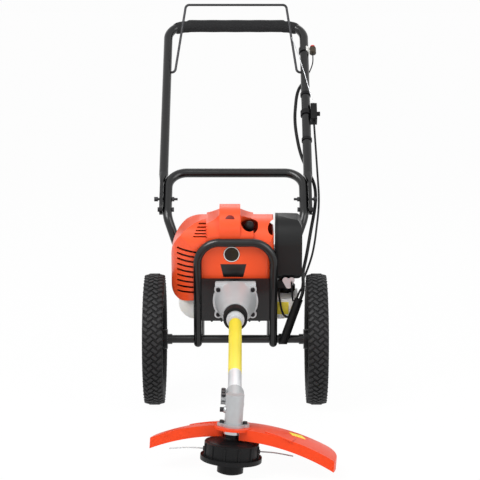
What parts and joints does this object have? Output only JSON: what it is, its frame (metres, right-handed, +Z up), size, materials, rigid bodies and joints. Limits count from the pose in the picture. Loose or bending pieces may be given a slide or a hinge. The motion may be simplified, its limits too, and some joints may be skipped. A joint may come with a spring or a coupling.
{
  "type": "wheeled string trimmer",
  "caption": "Walk-behind string trimmer: engine and tank on a wheeled tube frame, long shaft to a guarded line head, raked handle with bail, stop switch and cables.",
  "frame": {"origin": "on the ground, at the middle of the bounding box", "axes": "+Z up, -Y to the front where the cutting head is, +X to the right as seen from the front"},
  "size_m": [0.421, 1.3132, 0.9275],
  "materials": {
    "frame_paint": "gloss",
    "zinc_steel": "satin",
    "dark_steel": "satin",
    "cast_alloy": "satin",
    "shaft_alloy": "satin",
    "tyre_rubber": "matte",
    "black_rubber": "matte",
    "black_plastic": "matte",
    "orange_plastic": "gloss",
    "grey_plastic": "matte",
    "white_plastic": "satin",
    "tank_plastic": "satin",
    "red_plastic": "gloss",
    "fuel_hose": "satin",
    "foam": "matte",
    "line_nylon": "satin",
    "bush_bronze": "satin"
  },
  "bodies": {
    "chassis": {"axle_tube": "frame_paint", "axle_rod": "zinc_steel", "wheel_nuts": "zinc_steel", "front_hoop": "frame_paint", "engine_plate": "frame_paint", "lower_frame": "frame_paint", "upper_handle": "frame_paint", "handle_bolts": "dark_steel", "handle_nuts": "dark_steel", "foam_grip": "foam", "cable_box": "black_plastic", "stop_switch": "white_plastic", "throttle_cable": "black_rubber", "throttle_wire": "zinc_steel", "stop_lead": "black_rubber", "cable_conduit": "black_plastic", "cable_clips": "black_plastic", "crankcase": "cast_alloy", "cylinder_block": "cast_alloy", "spark_plug": "white_plastic", "plug_boot": "black_rubber", "muffler": "dark_steel", "cowl": "orange_plastic", "carburettor": "cast_alloy", "filter_base": "black_plastic", "filter_cover": "grey_plastic", "fuel_tank": "tank_plastic", "fuel_line": "fuel_hose", "starter_cover": "black_plastic", "clutch_housing": "cast_alloy", "clutch_bolts": "dark_steel", "damper_ring": "black_rubber", "shaft_tube": "shaft_alloy", "shaft_bushes": "bush_bronze", "gear_case": "cast_alloy", "gear_case_bolts": "dark_steel", "guard": "orange_plastic"},
    "left_wheel": {"left_tyre": "tyre_rubber", "left_rim": "frame_paint", "left_bushes": "bush_bronze"},
    "right_wheel": {"right_tyre": "tyre_rubber", "right_rim": "frame_paint", "right_bushes": "bush_bronze"},
    "crank": {"crankshaft": "zinc_steel", "flywheel": "cast_alloy", "clutch_shoes": "dark_steel"},
    "drive": {"drive_shaft": "zinc_steel", "clutch_drum": "dark_steel", "pinion": "dark_steel"},
    "head": {"output_shaft": "zinc_steel", "crown_gear": "dark_steel", "head_housing": "black_plastic", "line_left": "line_nylon", "line_right": "line_nylon"},
    "knob": {"bump_knob": "black_plastic"},
    "bail": {"bail": "dark_steel"},
    "button": {"stop_button": "red_plastic"},
    "lever": {"throttle_lever": "zinc_steel"},
    "starter": {"starter_grip": "black_plastic"},
    "cap": {"fuel_cap": "black_plastic"}
  },
  "joints": [
    {"name": "left_wheel_spin", "type": "hinge", "parent": "chassis", "child": "left_wheel", "pos_m": [-0.1875, 0.05441, 0.1525], "axis": [1, 0, 0], "continuous": true},
    {"name": "right_wheel_spin", "type": "hinge", "parent": "chassis", "child": "right_wheel", "pos_m": [0.1875, 0.05441, 0.1525], "axis": [1, 0, 0], "continuous": true},
    {"name": "crank_spin", "type": "hinge", "parent": "chassis", "child": "crank", "pos_m": [0, 0.02334, 0.25094], "axis": [0, 0.9848, 0.1736], "continuous": true},
    {"name": "drive_spin", "type": "hinge", "parent": "chassis", "child": "drive", "pos_m": [0, -0.5562, 0.14875], "axis": [0, 0.9848, 0.1736], "continuous": true},
    {"name": "head_spin", "type": "hinge", "parent": "chassis", "child": "head", "pos_m": [0, -0.59559, 0.14181], "axis": [0.0687, 0.0004, 0.9976], "continuous": true},
    {"name": "knob_press", "type": "slide", "parent": "head", "child": "knob", "axis": [0.0687, 0.0004, 0.9976], "range_m": [0, 0.006], "stiffness_N_per_m": 4000, "springref_m": -0.006},
    {"name": "bail_squeeze", "type": "hinge", "parent": "chassis", "child": "bail", "pos_m": [0, 0.52463, 0.75422], "axis": [-1, 0, 0], "range_deg": [0, 22.5], "stiffness_Nm_per_rad": 0.8, "springref_deg": -20.05, "deforming": ["throttle_wire"]},
    {"name": "throttle_turn", "type": "hinge", "parent": "chassis", "child": "lever", "pos_m": [0.122, 0.01831, 0.2795], "axis": [0, 0.9848, 0.1736], "range_deg": [0, 36]},
    {"name": "stop_press", "type": "slide", "parent": "chassis", "child": "button", "axis": [0, -0.7071, -0.7071], "range_m": [0, 0.003], "stiffness_N_per_m": 800, "springref_m": -0.002},
    {"name": "starter_pull", "type": "slide", "parent": "chassis", "child": "starter", "axis": [0, -0.1736, 0.9848], "range_m": [0, 0.5], "stiffness_N_per_m": 20, "springref_m": -0.5},
    {"name": "cap_turn", "type": "hinge", "parent": "chassis", "child": "cap", "pos_m": [0.117, 0.10607, 0.26553], "axis": [0, -0.1736, 0.9848], "range_deg": [0, 300]}
  ],
  "couplings": [
    {"joint": "head_spin", "follows": "drive_spin", "ratio": -0.73684},
    {"joint": "throttle_turn", "follows": "bail_squeeze", "ratio": 1.6}
  ]
}
